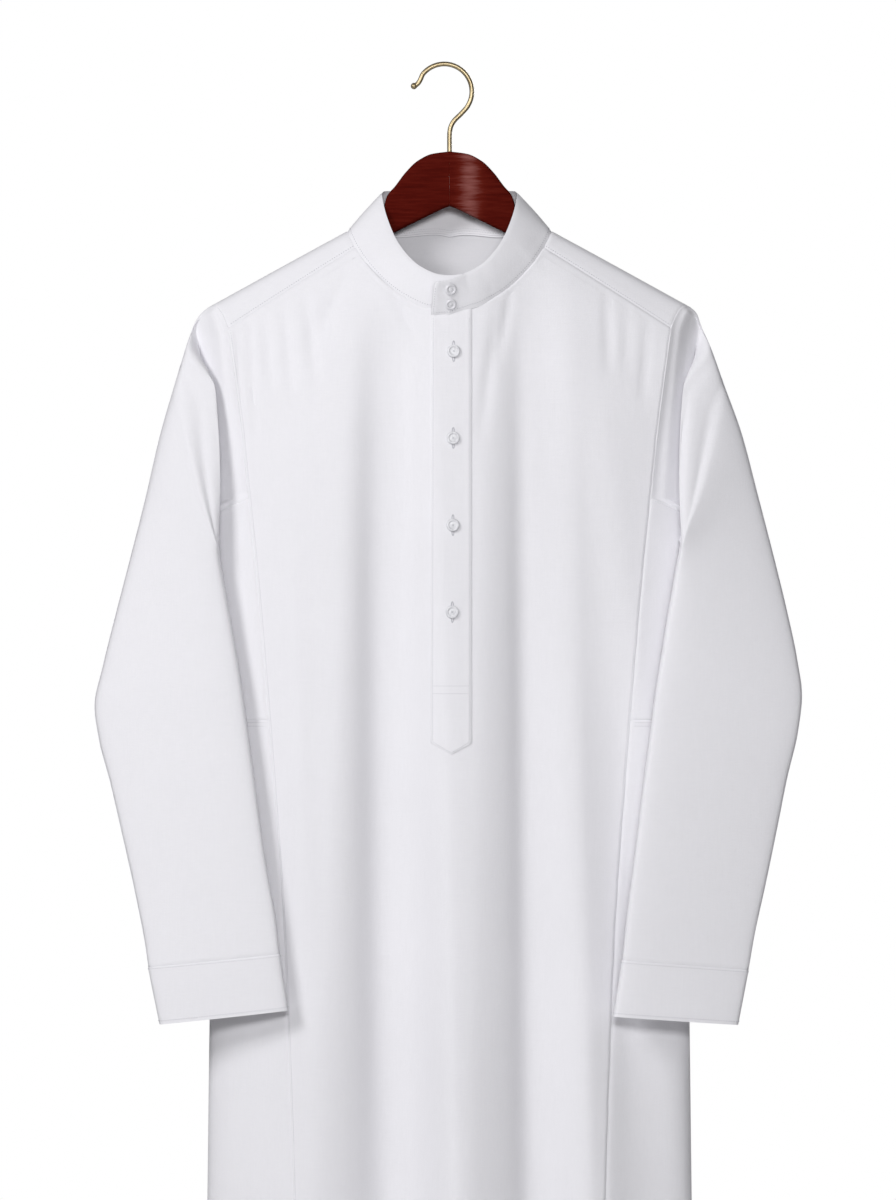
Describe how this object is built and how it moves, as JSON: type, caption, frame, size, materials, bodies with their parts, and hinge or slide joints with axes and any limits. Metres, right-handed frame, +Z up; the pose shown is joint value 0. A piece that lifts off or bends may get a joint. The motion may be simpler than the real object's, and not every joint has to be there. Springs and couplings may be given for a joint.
{
  "type": "thobe robe on a hanger",
  "caption": "Long-sleeved ankle-length robe with a stand collar, pointed button placket and side panels, hanging closed on a wooden hanger with a wire hook.",
  "frame": {"origin": "inside of the hook's crest, where the rail seats", "axes": "+Z up along the hook's stem, -Y out of the robe's front, +X towards the wearer's left"},
  "size_m": [0.6791, 0.147, 1.6216],
  "materials": {
    "white_cloth": "plain fine cotton weave, soft faint sheen",
    "pearl_button": "pearly white",
    "snap_cap": "satin white",
    "dark_wood": "dark red-brown, lacquered",
    "antique_brass": "darkened, polished on the high side"
  },
  "bodies": {
    "root": {"yoke": "white_cloth", "front": "white_cloth", "back": "white_cloth", "side_upper_right": "white_cloth", "side_upper_left": "white_cloth", "side_lower_right": "white_cloth", "side_lower_left": "white_cloth", "sleeve_right": "white_cloth", "sleeve_left": "white_cloth", "cuff_right": "white_cloth", "cuff_left": "white_cloth", "collar": "white_cloth", "placket": "white_cloth", "button_1": "pearl_button", "button_2": "pearl_button", "button_3": "pearl_button", "button_4": "pearl_button", "snap_upper": "snap_cap", "snap_lower": "snap_cap", "hanger_arm_right": "dark_wood", "hanger_arm_left": "dark_wood", "hanger_hook": "antique_brass"}
  },
  "joints": []
}
